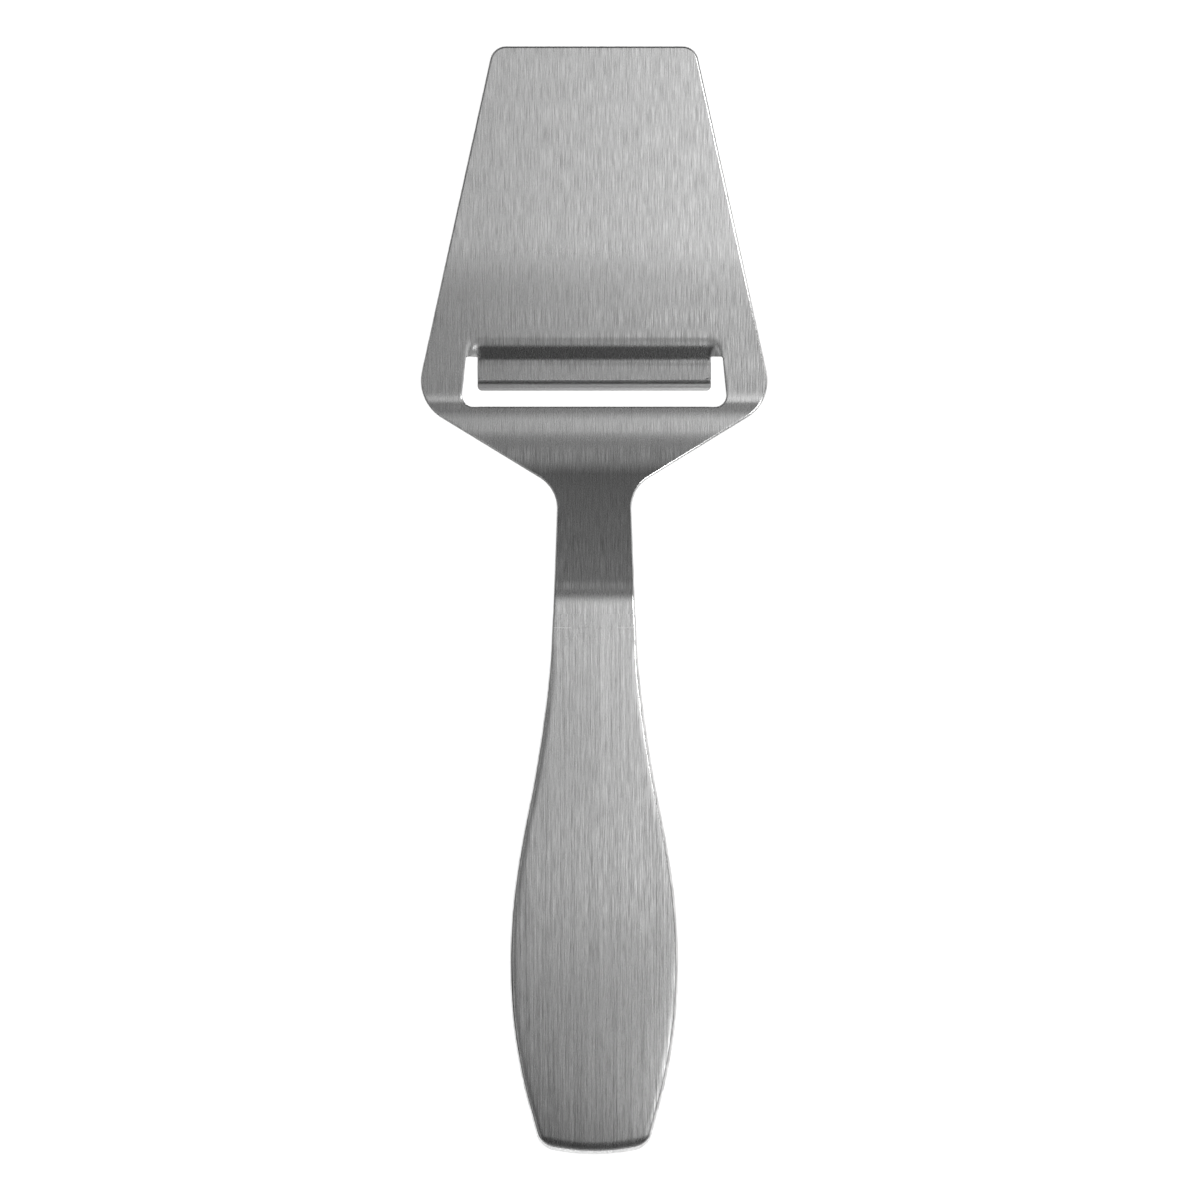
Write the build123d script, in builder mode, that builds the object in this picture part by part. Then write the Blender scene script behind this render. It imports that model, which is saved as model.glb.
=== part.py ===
from build123d import *
from math import cos, radians, tan
import os

os.makedirs("parts", exist_ok=True)

# All-steel cheese slicer, in millimetres and degrees. It lies as it does on a table: the blade's edge and
# the heel of the handle touch z = 0, the tip points to +Y, and x = 0 is the plane of symmetry.

# Overall
overall_length = 245.0
cut_overrun = 3.0

# Slicing plate, seen from above. The shoulders lie a little behind the crease where the yoke starts.
tip_width = 44.8
tip_corner_radius = 3.6
flare_angle = 12.4
shoulder_setback = 0.7
shoulder_angle = 31.4
shoulder_corner_radius = 9.7
neck_width = 16.3
neck_corner_radius = 8.0
neck_end_width = 18.2
sheet_thickness = 2.0
sheet_edge_radius = 0.55

# Slicing plate, seen from the side: each stretch has its length from the bend before it, and the bend that
# follows has its radius. An angle is positive where the sheet rises towards the handle.
tip_droop_length = 5.0
tip_droop_angle = 3.0
tip_droop_radius = 80.0
level_length = 46.5
dip_radius = 143.0
dip_length = 26.4
dip_angle = -8.0
crease_radius = 5.0
crease_length = 2.9
crease_angle = 12.0
yoke_radius = 10.0
yoke_length = 8.7
yoke_angle = 6.0
neck_bend_radius = 27.0
neck_length = 32.0
neck_angle = 20.0
crest_radius = 14.6
crest_length = 4.0

# Slot, whose far side lies behind the crease, and the rails at its sides where it starts and where it ends
slot_setback = 1.7
cutting_gap = 3.5
notch_length = 7.4
notch_width = 2.5
rail_start_width = 9.15
rail_end_width = 10.5
slot_corner_radius = 2.4
notch_corner_radius = 0.4
slot_edge_radius = 0.4

# Blade tongue, which bends down out of the plate and then levels out into a lip with the edge on it
blade_root_length = 2.1
blade_overlap = 0.2
blade_bend_radius = 8.0
blade_drop_length = 4.2
blade_drop_angle = -28.0
lip_radius = 6.0
lip_length = 6.4
lip_angle = -10.0
blade_edge_thickness = 0.2
blade_corner_radius = 1.1
bevel_length = 2.5

# Hollow handle. Its mouth meets the neck just past the crest, and its shells start behind a weld there.
mouth_weld_length = 3.0
handle_width = 37.2
handle_thickness = 8.0
handle_wall = 0.8
handle_crown = 0.3
handle_end_radius = 46.0
handle_end_edge_radius = 2.4
heel_flat_depth = 0.9
seam_width = 0.8
arch_power = 2.4

# Stations along the handle: how far each lies from the mouth to the end, how far its width and thickness
# have grown from the neck's to the handle's own, its edge rounding as a share of the thickness there, and
# its share of the crown. The last lies past the end, and what is behind the end is cut off.
mouth_crown_share = 0.03
shell_width_share = 0.02
station_shares = (
    (0.09, 0.07, 0.36, 0.34, 0.06),
    (0.195, 0.221, 0.587, 0.38, 0.1),
    (0.31, 0.451, 0.76, 0.4, 0.15),
    (0.42, 0.722, 0.88, 0.41, 0.25),
    (0.53, 0.926, 0.96, 0.41, 0.4),
    (0.648, 1.0, 1.0, 0.41, 0.6),
    (0.753, 0.933, 1.0, 0.41, 0.8),
    (0.862, 0.713, 0.947, 0.41, 1.0),
    (0.952, 0.421, 0.84, 0.41, 1.0),
    (1.02, 0.19, 0.68, 0.41, 1.0),
)

# Tang inside the handle, and the plug welds that hold it to the upper shell
tang_width = 10.0
tang_length = 46.0
tang_point_shares = (0.0, 0.25, 0.5, 0.75, 1.0)
plug_diameter = 4.0
plug_distances = (16.0, 36.0)

# Which faces count as upright and which edges as level, by how far they lean, and the middle of an edge
lean_share = 0.02
level_share = 0.7
middle_share = 0.5

# Places along the tool, from the tip back to the end of the handle
tip_y = overall_length / 2
end_y = -overall_length / 2
level_y = tip_y - tip_droop_length
dip_y = level_y - level_length
crease_y = dip_y - dip_length
yoke_y = crease_y - crease_length
neck_bend_y = yoke_y - yoke_length
crest_y = neck_bend_y - neck_length
mouth_y = crest_y - crest_length
shell_y = mouth_y - mouth_weld_length
handle_length = mouth_y - end_y

# Places of the slot and the blade, which follow from the crease
slot_end_y = crease_y - slot_setback
edge_y = slot_end_y + cutting_gap
slot_start_y = edge_y + notch_length
lip_y = edge_y + lip_length
blade_bend_y = lip_y + blade_drop_length
blade_root_y = blade_bend_y + blade_root_length


# Half the plate's width at a place, between its straight flared sides
def flared_half(y):
    return tip_width / 2 + (tip_y - y) * tan(radians(flare_angle))


shoulder_y = crease_y - shoulder_setback
shoulder_half = flared_half(shoulder_y)
neck_y = shoulder_y - (shoulder_half - neck_width / 2) * tan(radians(shoulder_angle))
slot_start_half = flared_half(slot_start_y) - rail_start_width
slot_end_half = flared_half(slot_end_y) - rail_end_width
blade_width = 2 * (slot_start_half - notch_width)
tang_thickness = sheet_thickness - handle_wall


# How much a stretch of sheet rises over its length along the tool
def rise(length, angle):
    return length * tan(radians(angle))


# Heights of the sheet's top face. The underside of the blade's edge is at z = 0, which sets the others.
edge_z = sheet_thickness / cos(radians(lip_angle))
lip_z = edge_z - rise(lip_length, lip_angle)
blade_bend_z = lip_z - rise(blade_drop_length, blade_drop_angle)
plate_z = blade_bend_z - rise(dip_y - blade_bend_y, dip_angle)
tip_z = plate_z - rise(tip_droop_length + cut_overrun, tip_droop_angle)
crease_z = plate_z + rise(dip_length, dip_angle)
yoke_z = crease_z + rise(crease_length, crease_angle)
neck_bend_z = yoke_z + rise(yoke_length, yoke_angle)
crest_z = neck_bend_z + rise(neck_length, neck_angle)

# The handle's stations in real sizes: place, width, thickness, edge rounding and crown
stations = [
    (mouth_y, neck_end_width, sheet_thickness, sheet_edge_radius, mouth_crown_share * handle_crown),
    (
        shell_y,
        neck_end_width + shell_width_share * (handle_width - neck_end_width),
        sheet_thickness + handle_wall,
        sheet_edge_radius,
        mouth_crown_share * handle_crown,
    ),
]
for along, wider, thicker, rounding, crowned in station_shares:
    thickness = sheet_thickness + thicker * (handle_thickness - sheet_thickness)
    stations.append(
        (
            mouth_y - along * handle_length,
            neck_end_width + wider * (handle_width - neck_end_width),
            thickness,
            rounding * thickness,
            crowned * handle_crown,
        )
    )

# The handle's top falls away from the crest in one arch that brings its heel down to the table.
last_y, last_width, last_thickness, last_rounding, last_crown = stations[-1]
arch_drop = crest_z + heel_flat_depth - last_thickness
arch_length = mouth_y - last_y


def handle_top_z(y):
    return crest_z - arch_drop * ((mouth_y - y) / arch_length) ** arch_power


# Outline of the head and neck from above, from the middle of the tip round to the handle's mouth
with BuildSketch(Plane.XY) as head_outline:
    with BuildLine():
        FilletPolyline(
            (0, tip_y),
            (tip_width / 2, tip_y),
            (shoulder_half, shoulder_y),
            (neck_width / 2, neck_y),
            (neck_end_width / 2, mouth_y),
            (0, mouth_y),
            radius=(tip_corner_radius, shoulder_corner_radius, neck_corner_radius, 0),
        )
        Line((0, mouth_y), (0, tip_y))
    make_face()
    mirror(about=Plane.YZ)

# The slot from above: a wide opening behind the blade, with a notch up each side of the blade
with BuildSketch(Plane.XY) as slot_outline:
    with BuildLine():
        FilletPolyline(
            (0, slot_start_y),
            (slot_start_half, slot_start_y),
            (slot_end_half, slot_end_y),
            (0, slot_end_y),
            radius=(notch_corner_radius, slot_corner_radius),
        )
        Line((0, slot_end_y), (0, slot_start_y))
    make_face()
    mirror(about=Plane.YZ)
    with Locations((0, (blade_root_y + slot_start_y) / 2)):
        Rectangle(blade_width, blade_root_y - slot_start_y)

# Blade tongue: the sheet bent down and levelled out again, with a hollow-ground bevel on top of its edge
bevel_depth = edge_z - rise(bevel_length, lip_angle) - blade_edge_thickness
bevel_radius = (bevel_length**2 + bevel_depth**2) / (2 * bevel_depth)
with BuildPart() as blade_tongue:
    with BuildSketch(Plane.YZ):
        with BuildLine():
            blade_top = FilletPolyline(
                (dip_y, plate_z),
                (blade_bend_y, blade_bend_z),
                (lip_y, lip_z),
                (edge_y - cut_overrun, edge_z + rise(cut_overrun, lip_angle)),
                radius=(blade_bend_radius, lip_radius),
            )
            offset(blade_top, amount=sheet_thickness, side=Side.LEFT)
        make_face()
    extrude(amount=blade_width / 2, both=True)
    with BuildSketch(Plane.XY.offset(-cut_overrun)) as blade_outline:
        with Locations((0, blade_root_y + blade_overlap)):
            Rectangle(
                blade_width, blade_root_y + blade_overlap - edge_y, align=(Align.CENTER, Align.MAX)
            )
        fillet(blade_outline.vertices().group_by(Axis.Y)[0], radius=blade_corner_radius)
    extrude(amount=plate_z + 2 * cut_overrun, mode=Mode.INTERSECT)
    with BuildSketch(Plane.YZ):
        with Locations((edge_y, blade_edge_thickness + bevel_radius)):
            Circle(bevel_radius)
    extrude(amount=blade_width, both=True, mode=Mode.SUBTRACT)


# One cross-section of the handle, crowned above and below, drawn in from the outer surface by an inset
def handle_section(station, inset):
    y, width, thickness, rounding, crown = station
    half = width / 2 - inset
    top = handle_top_z(y) - inset
    bottom = handle_top_z(y) - thickness + inset
    with BuildSketch(Plane.XZ.offset(-y)) as cross_section:
        with BuildLine():
            ThreePointArc((-half, top - crown), (0, top), (half, top - crown))
            Line((half, top - crown), (half, bottom + crown))
            ThreePointArc((half, bottom + crown), (0, bottom), (-half, bottom + crown))
            Line((-half, bottom + crown), (-half, top - crown))
        make_face()
        fillet(cross_section.vertices(), radius=rounding * (top - bottom) / thickness)
    return cross_section.sketch


# A band along the handle, seen from the side, between two heights above its middle surface
def side_band(low, high):
    middles = [(y, handle_top_z(y) - thickness / 2) for y, width, thickness, *rest in stations]
    with BuildSketch(Plane.YZ) as band:
        with BuildLine():
            base = Spline([(y, z + low) for y, z in middles])
            top = Spline([(y, z + high) for y, z in middles])
            Line(base @ 0, top @ 0)
            Line(base @ 1, top @ 1)
        make_face()
    return band.sketch


# The handle's outer form: its bowed end is rounded over, and a small flat is ground on its heel.
end_half = handle_width / 2 + cut_overrun
end_sagitta = handle_end_radius - (handle_end_radius**2 - end_half**2) ** 0.5
with BuildPart() as handle_form:
    loft(sections=[handle_section(station, 0) for station in stations])
    with BuildSketch(Plane.XY.offset(-cut_overrun)):
        with BuildLine():
            end_arc = ThreePointArc(
                (-end_half, end_y + end_sagitta), (0, end_y), (end_half, end_y + end_sagitta)
            )
            Polyline(end_arc @ 1, (end_half, mouth_y), (-end_half, mouth_y), end_arc @ 0)
        make_face()
    extrude(amount=crest_z + 2 * cut_overrun, mode=Mode.INTERSECT)
    fillet(handle_form.faces().sort_by(Axis.Y)[0].edges(), radius=handle_end_edge_radius)
    split(bisect_by=Plane.XY, keep=Keep.TOP)

# The hollow that the shells enclose
with BuildPart() as handle_hollow:
    loft(sections=[handle_section(station, handle_wall) for station in stations[1:]])
    split(bisect_by=Plane.XZ.offset(-end_y - handle_wall - handle_end_edge_radius), keep=Keep.BOTTOM)

# Tang: the sheet carried on into the handle, thinned by one shell wall, against the upper shell's inside
tang_places = [shell_y - share * (tang_length - mouth_weld_length) for share in tang_point_shares]
with BuildPart() as tang:
    with BuildSketch(Plane.YZ):
        with BuildLine():
            tang_top = Spline([(y, handle_top_z(y)) for y in tang_places])
            tang_base = Spline([(y, handle_top_z(y) - sheet_thickness) for y in tang_places])
            Line(tang_top @ 0, tang_base @ 0)
            Line(tang_top @ 1, tang_base @ 1)
        make_face()
    extrude(amount=tang_width / 2, both=True)
    add(handle_hollow.part, mode=Mode.INTERSECT)
    with BuildSketch(Plane.XZ.offset(-mouth_y)):
        with Locations((0, crest_z - handle_wall - tang_thickness / 2)):
            Rectangle(tang_width, tang_thickness)
    extrude(amount=mouth_weld_length)

# Plug welds: weld metal that fills two round holes through the tang
with BuildPart() as tang_plug_welds:
    with BuildSketch(Plane.XY):
        with Locations([(0, mouth_y - distance) for distance in plug_distances]):
            Circle(plug_diameter / 2)
    extrude(amount=crest_z + cut_overrun)
    add(tang.part, mode=Mode.INTERSECT)
tang_plug_welds.part.label = "tang_plug_welds"
export_step(tang_plug_welds.part, "parts/tang_plug_welds.step")


# The upper and lower edges of upright walls, whose middles lie between two places along the tool
def rim_edges(faces, high_y, low_y):
    walls = faces.filter_by(lambda face: abs(face.normal_at().Z) < lean_share)
    edges = [edge for wall in walls for edge in wall.edges()]
    level = [edge for edge in edges if abs(edge.tangent_at(middle_share).Z) < level_share]
    return [edge for edge in level if low_y < edge.center().Y < high_y]


# Slicing plate: one pressing with its plate, side rails, yoke, neck, blade tongue and tang
with BuildPart() as slicing_plate:
    with BuildSketch(Plane.YZ):
        with BuildLine():
            sheet_top = FilletPolyline(
                (tip_y + cut_overrun, tip_z),
                (level_y, plate_z),
                (dip_y, plate_z),
                (crease_y, crease_z),
                (yoke_y, yoke_z),
                (neck_bend_y, neck_bend_z),
                (crest_y, crest_z),
                (mouth_y - cut_overrun, crest_z),
                radius=(
                    tip_droop_radius,
                    dip_radius,
                    crease_radius,
                    yoke_radius,
                    neck_bend_radius,
                    crest_radius,
                ),
            )
            offset(sheet_top, amount=sheet_thickness, side=Side.LEFT)
        make_face()
    extrude(amount=shoulder_half + cut_overrun, both=True)
    extrude(head_outline.sketch, amount=crest_z + cut_overrun, mode=Mode.INTERSECT)
    fillet(rim_edges(slicing_plate.faces(), tip_y, mouth_y), radius=sheet_edge_radius)
    extrude(slot_outline.sketch, amount=plate_z + cut_overrun, mode=Mode.SUBTRACT)
    slot_walls = slicing_plate.faces(Select.LAST)
    fillet(rim_edges(slot_walls, slot_start_y, slot_end_y - slot_edge_radius), radius=slot_edge_radius)
    add(blade_tongue.part)
    add(tang.part)
    add(tang_plug_welds.part, mode=Mode.SUBTRACT)
slicing_plate.part.label = "slicing_plate"
export_step(slicing_plate.part, "parts/slicing_plate.step")

# The weld that closes the handle's mouth round the tang, ground flush with the neck and the shells
with BuildPart() as mouth_weld:
    add(handle_form.part)
    split(bisect_by=Plane.XZ.offset(-shell_y), keep=Keep.BOTTOM)
    add(tang.part, mode=Mode.SUBTRACT)
mouth_weld.part.label = "mouth_weld"
export_step(mouth_weld.part, "parts/mouth_weld.step")

# The handle's wall behind the mouth, which parts into two shells and the seam between them
with BuildPart() as handle_skin:
    add(handle_form.part)
    add(handle_hollow.part, mode=Mode.SUBTRACT)
    split(bisect_by=Plane.XZ.offset(-shell_y), keep=Keep.TOP)

# Seam weld, all round the rim between the shells, ground flush
with BuildPart() as handle_seam_weld:
    extrude(side_band(-seam_width / 2, seam_width / 2), amount=handle_width, both=True)
    add(handle_skin.part, mode=Mode.INTERSECT)
handle_seam_weld.part.label = "handle_seam_weld"
export_step(handle_seam_weld.part, "parts/handle_seam_weld.step")

# Upper shell
with BuildPart() as handle_upper_shell:
    extrude(side_band(seam_width / 2, handle_thickness), amount=handle_width, both=True)
    add(handle_skin.part, mode=Mode.INTERSECT)
handle_upper_shell.part.label = "handle_upper_shell"
export_step(handle_upper_shell.part, "parts/handle_upper_shell.step")

# Lower shell
with BuildPart() as handle_lower_shell:
    extrude(side_band(-handle_thickness, -seam_width / 2), amount=handle_width, both=True)
    add(handle_skin.part, mode=Mode.INTERSECT)
handle_lower_shell.part.label = "handle_lower_shell"
export_step(handle_lower_shell.part, "parts/handle_lower_shell.step")
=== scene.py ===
import bpy
import math
import numpy as np
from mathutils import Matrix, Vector, kdtree
from mathutils.geometry import delaunay_2d_cdt


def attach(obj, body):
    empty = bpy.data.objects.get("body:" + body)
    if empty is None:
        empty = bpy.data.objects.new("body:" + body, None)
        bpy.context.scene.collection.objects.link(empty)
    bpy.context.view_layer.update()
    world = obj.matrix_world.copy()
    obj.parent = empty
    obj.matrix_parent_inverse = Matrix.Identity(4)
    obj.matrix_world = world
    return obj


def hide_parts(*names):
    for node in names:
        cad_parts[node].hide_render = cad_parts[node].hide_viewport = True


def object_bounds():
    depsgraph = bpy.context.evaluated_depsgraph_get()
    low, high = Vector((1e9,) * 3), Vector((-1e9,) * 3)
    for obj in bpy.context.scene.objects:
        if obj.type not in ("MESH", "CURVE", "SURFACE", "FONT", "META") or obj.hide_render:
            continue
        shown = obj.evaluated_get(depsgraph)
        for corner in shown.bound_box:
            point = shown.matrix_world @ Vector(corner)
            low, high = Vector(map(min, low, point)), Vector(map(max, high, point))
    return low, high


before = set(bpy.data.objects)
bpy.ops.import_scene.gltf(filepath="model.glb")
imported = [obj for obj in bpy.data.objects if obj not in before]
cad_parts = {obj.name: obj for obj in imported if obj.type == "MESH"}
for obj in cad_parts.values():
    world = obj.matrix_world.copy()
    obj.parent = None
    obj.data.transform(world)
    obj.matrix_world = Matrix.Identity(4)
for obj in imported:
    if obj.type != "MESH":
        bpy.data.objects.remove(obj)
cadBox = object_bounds()
print("frame loaded:", sorted(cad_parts))

mm = 0.001

# Camera: straight above the tool, far off and with a long lens, as in the photo
camera = {
    "offsetX": 1.28,  # the tool lies a little left of the picture's middle
    "offsetY": 0.09,
    "distance": 3000.0,
    "frameWidth": 265.7,  # what the picture spans at the tool, in millimetres
    "sensor": 36.0,
}


def makeCamera(settings):
    data = bpy.data.cameras.new("photoCamera")
    data.sensor_width = settings["sensor"]
    data.lens = settings["sensor"] * settings["distance"] / settings["frameWidth"]
    data.clip_start = 0.1
    data.clip_end = 50.0
    photoCamera = bpy.data.objects.new("photoCamera", data)
    photoCamera.location = (
        settings["offsetX"] * mm,
        settings["offsetY"] * mm,
        settings["distance"] * mm,
    )
    bpy.context.scene.collection.objects.link(photoCamera)
    bpy.context.scene.camera = photoCamera


makeCamera(camera)

# Lamps: soft panels that face straight down, high over the tool and nearer to it, and an upright card at its
# right. Sizes and places are in millimetres.
lamps = {
    "highRightTip": {"at": (450.0, 150.0, 1000.0), "size": (300.0, 300.0), "watts": 4.0},
    "highTip": {"at": (150.0, 150.0, 1000.0), "size": (300.0, 300.0), "watts": 0.29},
    "highHeel": {"at": (150.0, -150.0, 1000.0), "size": (300.0, 300.0), "watts": 0.22},
    "highLeftTip": {"at": (-150.0, 150.0, 1000.0), "size": (300.0, 300.0), "watts": 0.1},
    "highLeft": {"at": (-420.0, -150.0, 1000.0), "size": (260.0, 900.0), "watts": 0.4},
    "nearTip": {"at": (0.0, 240.0, 350.0), "size": (120.0, 120.0), "watts": 0.015},
    "nearNeck": {"at": (20.0, -40.0, 350.0), "size": (120.0, 80.0), "watts": 0.006},
    "nearGrip": {"at": (0.0, -193.0, 350.0), "size": (120.0, 214.0), "watts": 0.027},
    "nearHeel": {"at": (120.0, -240.0, 350.0), "size": (120.0, 120.0), "watts": 0.088},
    "nearEnd": {"at": (0.0, -300.0, 150.0), "size": (160.0, 60.0), "watts": 0.006},
    "rightCard": {
        "at": (220.0, -60.0, 90.0),
        "aim": (0.0, -60.0, 90.0),
        "size": (420.0, 160.0),
        "watts": 0.15,
    },
}
room = {"colour": (0.015, 0.015, 0.015), "strength": 1.0}


def makeLamp(name, settings):
    data = bpy.data.lights.new(name, "AREA")
    data.shape = "RECTANGLE"
    data.size = settings["size"][0] * mm
    data.size_y = settings["size"][1] * mm
    data.energy = settings["watts"]
    lamp = bpy.data.objects.new(name, data)
    lamp.visible_camera = False
    place = Vector(settings["at"])
    away = place - Vector(settings.get("aim", (place.x, place.y, 0.0)))
    lamp.location = place * mm
    lamp.rotation_mode = "QUATERNION"
    lamp.rotation_quaternion = away.to_track_quat("Z", "Y")
    bpy.context.scene.collection.objects.link(lamp)


for name, settings in lamps.items():
    makeLamp(name, settings)

# Dim walls of light around the tool, which its steel mirrors when it is seen from its sides. Towards its tip
# and its heel they are low, so that from above the neck and the tongue's bend stay dark.
walls = {
    "tall": {
        "bearings": (0, 40, 140, 180, 220, 320),
        "height": 900.0,
        "size": (800.0, 1250.0),
        "watts": 0.9,
    },
    "low": {
        "bearings": (65, 90, 115, 245, 270, 295),
        "height": 300.0,
        "size": (560.0, 400.0),
        "watts": 0.25,
    },
}
wallDistance = 1300.0


def makeWalls(name, settings):
    for bearing in settings["bearings"]:
        turn = math.radians(bearing)
        at = (wallDistance * math.cos(turn), wallDistance * math.sin(turn), settings["height"])
        makeLamp(f"{name}Wall{bearing}", {**settings, "at": at, "aim": (0.0, 0.0, 0.0)})


for name, settings in walls.items():
    makeWalls(name, settings)


def makeRoom(settings):
    world = bpy.data.worlds.new("dimRoom")
    world.use_nodes = True
    background = world.node_tree.nodes["Background"]
    background.inputs["Color"].default_value = (*settings["colour"], 1.0)
    background.inputs["Strength"].default_value = settings["strength"]
    bpy.context.scene.world = world


makeRoom(room)
bpy.context.scene.view_settings.view_transform = "Standard"
print("camera and lamps made")


# Floor: white to the camera and in reflections, and it keeps the tool's soft shadow
floorSettings = {"half": 6000.0, "drop": 0.05, "glow": 0.93, "matt": 0.35}


def makeFloor(settings):
    half = settings["half"] * mm
    low = -settings["drop"] * mm
    mesh = bpy.data.meshes.new("paleFloor")
    mesh.from_pydata(
        [(-half, -half, low), (half, -half, low), (half, half, low), (-half, half, low)],
        [],
        [(0, 1, 2, 3)],
    )
    floor = bpy.data.objects.new("paleFloor", mesh)
    bpy.context.scene.collection.objects.link(floor)
    material = bpy.data.materials.new("paleFloor")
    material.use_nodes = True
    nodes, links = material.node_tree.nodes, material.node_tree.links
    nodes.clear()
    ray = nodes.new("ShaderNodeLightPath")
    seen = nodes.new("ShaderNodeMath")
    seen.operation = "MAXIMUM"
    seenThrough = nodes.new("ShaderNodeMath")
    seenThrough.operation = "MAXIMUM"
    matt = nodes.new("ShaderNodeBsdfDiffuse")
    matt.inputs["Color"].default_value = (settings["matt"], settings["matt"], settings["matt"], 1.0)
    glow = nodes.new("ShaderNodeEmission")
    both = nodes.new("ShaderNodeAddShader")
    share = nodes.new("ShaderNodeMath")
    share.operation = "MULTIPLY"
    share.inputs[1].default_value = settings["glow"]
    output = nodes.new("ShaderNodeOutputMaterial")
    links.new(ray.outputs["Is Camera Ray"], seen.inputs[0])
    links.new(ray.outputs["Is Glossy Ray"], seen.inputs[1])
    links.new(seen.outputs[0], seenThrough.inputs[0])
    links.new(ray.outputs["Is Transmission Ray"], seenThrough.inputs[1])
    links.new(seenThrough.outputs[0], share.inputs[0])
    links.new(share.outputs[0], glow.inputs["Strength"])
    links.new(matt.outputs[0], both.inputs[0])
    links.new(glow.outputs[0], both.inputs[1])
    links.new(both.outputs[0], output.inputs["Surface"])
    mesh.materials.append(material)


makeFloor(floorSettings)
print("floor made")

# Brushed steel. Each layer of its grain has a width, a length and how far it swings the colour. The first one
# is the finest, and it swings the roughness and raises the ridges too. Sizes are in millimetres. The place of
# the grain comes from the mesh's own marks or from the object's coordinates.
grainNoise = {
    "detail": 2.0,
    "roughness": 0.6,
    "span": (0.3, 0.7),  # most of the noise lies between these
    "shift": (3.7, 1.9),  # from each layer to the next, so that they don't line up
}
plateFinish = {
    "name": "plateSteel",
    "place": "mesh",
    "colour": (0.62, 0.62, 0.62),
    "roughness": 0.25,
    "layers": [(0.17, 5.0, 0.36), (0.32, 18.0, 0.09), (2.6, 90.0, 0.025)],
    "roughSwing": 0.06,
    "ridge": 0.0014,
    "wear": 0.06,
}
handleFinish = {
    "name": "handleSteel",
    "place": "mesh",
    "colour": (0.62, 0.62, 0.62),
    "roughness": 0.25,
    "layers": [(0.18, 5.0, 0.32), (0.32, 45.0, 0.20), (2.2, 120.0, 0.05)],
    "roughSwing": 0.06,
    "ridge": 0.0014,
    "wear": 0.08,
}
bevelFinish = {
    "name": "groundBevel",
    "place": "mesh",
    "colour": (0.70, 0.70, 0.70),
    "roughness": 0.22,
    "layers": [(8.0, 0.16, 0.05), (3.0, 0.5, 0.03)],
    "roughSwing": 0.03,
    "ridge": 0.0006,
    "wear": 0.0,
}
weldFinish = {**handleFinish, "name": "weldSteel", "place": "object"}  # ground flush and brushed as one
plugFinish = {
    "name": "innerWeldSteel",
    "place": "object",
    "colour": (0.50, 0.49, 0.48),
    "roughness": 0.42,
    "layers": [(0.5, 0.5, 0.22), (1.6, 1.6, 0.12)],
    "roughSwing": 0.12,
    "ridge": 0.03,
    "wear": 0.0,
}


# Where the grain goes by the object's coordinates, it counts heights from the base
def brushedSteel(finish, base=0.0):
    material = bpy.data.materials.new(finish["name"])
    material.use_nodes = True
    nodes, links = material.node_tree.nodes, material.node_tree.links
    steel = nodes["Principled BSDF"]
    steel.inputs["Metallic"].default_value = 1.0
    if finish["place"] == "mesh":
        marks = nodes.new("ShaderNodeAttribute")
        marks.attribute_name = "grainPlace"
        place = marks.outputs["Vector"]
    else:
        lowered = nodes.new("ShaderNodeMapping")
        lowered.inputs["Location"].default_value = (0.0, 0.0, -base * mm)
        links.new(nodes.new("ShaderNodeTexCoord").outputs["Object"], lowered.inputs["Vector"])
        place = lowered.outputs[0]

    def rangeOf(source, span, result):
        mapped = nodes.new("ShaderNodeMapRange")
        for name, value in zip(("From Min", "From Max", "To Min", "To Max"), (*span, *result)):
            mapped.inputs[name].default_value = value
        links.new(source, mapped.inputs["Value"])
        return mapped.outputs[0]

    # each layer is noise drawn out along the brushing
    shade, finest = None, None
    shiftX, shiftY = grainNoise["shift"]
    for i, (width, length, swing) in enumerate(finish["layers"]):
        stretch = nodes.new("ShaderNodeMapping")
        stretch.inputs["Location"].default_value = (shiftX * i, shiftY * i, 0.0)
        stretch.inputs["Scale"].default_value = (1 / (width * mm), 1 / (length * mm), 1 / (width * mm))
        links.new(place, stretch.inputs["Vector"])
        streaks = nodes.new("ShaderNodeTexNoise")
        streaks.inputs["Scale"].default_value = 1.0
        streaks.inputs["Detail"].default_value = grainNoise["detail"]
        streaks.inputs["Roughness"].default_value = grainNoise["roughness"]
        links.new(stretch.outputs[0], streaks.inputs["Vector"])
        finest = finest or streaks.outputs["Fac"]
        swung = rangeOf(streaks.outputs["Fac"], grainNoise["span"], (-swing, swing))
        both = nodes.new("ShaderNodeMath")
        both.operation = "ADD"
        both.inputs[1].default_value = 1.0
        links.new(swung, both.inputs[0])
        if shade:
            links.new(shade, both.inputs[1])
        shade = both.outputs[0]
    # edges are rubbed a little brighter and smoother
    rub = nodes.new("ShaderNodeAttribute")
    rub.attribute_name = "rub"
    rubbed = rangeOf(rub.outputs["Fac"], (0.0, 1.0), (0.0, finish["wear"]))
    brighter = nodes.new("ShaderNodeMath")
    brighter.operation = "ADD"
    links.new(shade, brighter.inputs[0])
    links.new(rubbed, brighter.inputs[1])
    tint = nodes.new("ShaderNodeVectorMath")
    tint.operation = "SCALE"
    tint.inputs[0].default_value = finish["colour"]
    links.new(brighter.outputs[0], tint.inputs["Scale"])
    links.new(tint.outputs[0], steel.inputs["Base Color"])
    roughEnds = (finish["roughness"] + finish["roughSwing"], finish["roughness"] - finish["roughSwing"])
    smoother = nodes.new("ShaderNodeMath")
    smoother.operation = "SUBTRACT"
    links.new(rangeOf(finest, grainNoise["span"], roughEnds), smoother.inputs[0])
    links.new(rubbed, smoother.inputs[1])
    links.new(smoother.outputs[0], steel.inputs["Roughness"])
    ridges = nodes.new("ShaderNodeBump")
    ridges.inputs["Distance"].default_value = finish["ridge"] * mm
    links.new(finest, ridges.inputs["Height"])
    links.new(ridges.outputs[0], steel.inputs["Normal"])
    return material


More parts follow.
